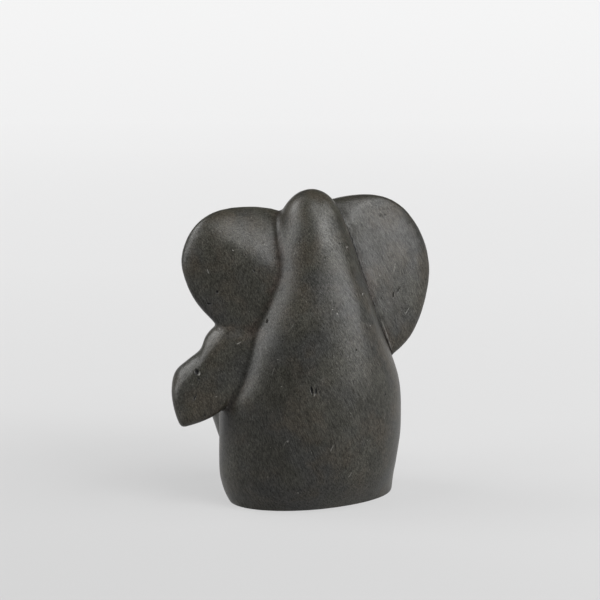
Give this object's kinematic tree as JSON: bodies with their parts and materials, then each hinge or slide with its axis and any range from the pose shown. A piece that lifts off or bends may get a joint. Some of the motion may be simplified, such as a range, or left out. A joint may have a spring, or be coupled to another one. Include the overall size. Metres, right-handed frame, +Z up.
{
  "type": "stone elephant figure",
  "caption": "Polished dark soapstone carving of a seated elephant cow, seen as a smooth legless cone with round ears, and a small calf leaning out at her side.",
  "frame": {"origin": "on the flat underside, below the middle of the mother's crown", "axes": "+Z up, -Y the way the mother and the calf face, +X the mother's left, where the calf leans out"},
  "size_m": [0.112, 0.0713, 0.125],
  "materials": {
    "soapstone": "waxed and buffed to a soft satin sheen, mottled grey-green"
  },
  "bodies": {
    "root": {"elephant_and_calf": "soapstone"}
  },
  "joints": []
}
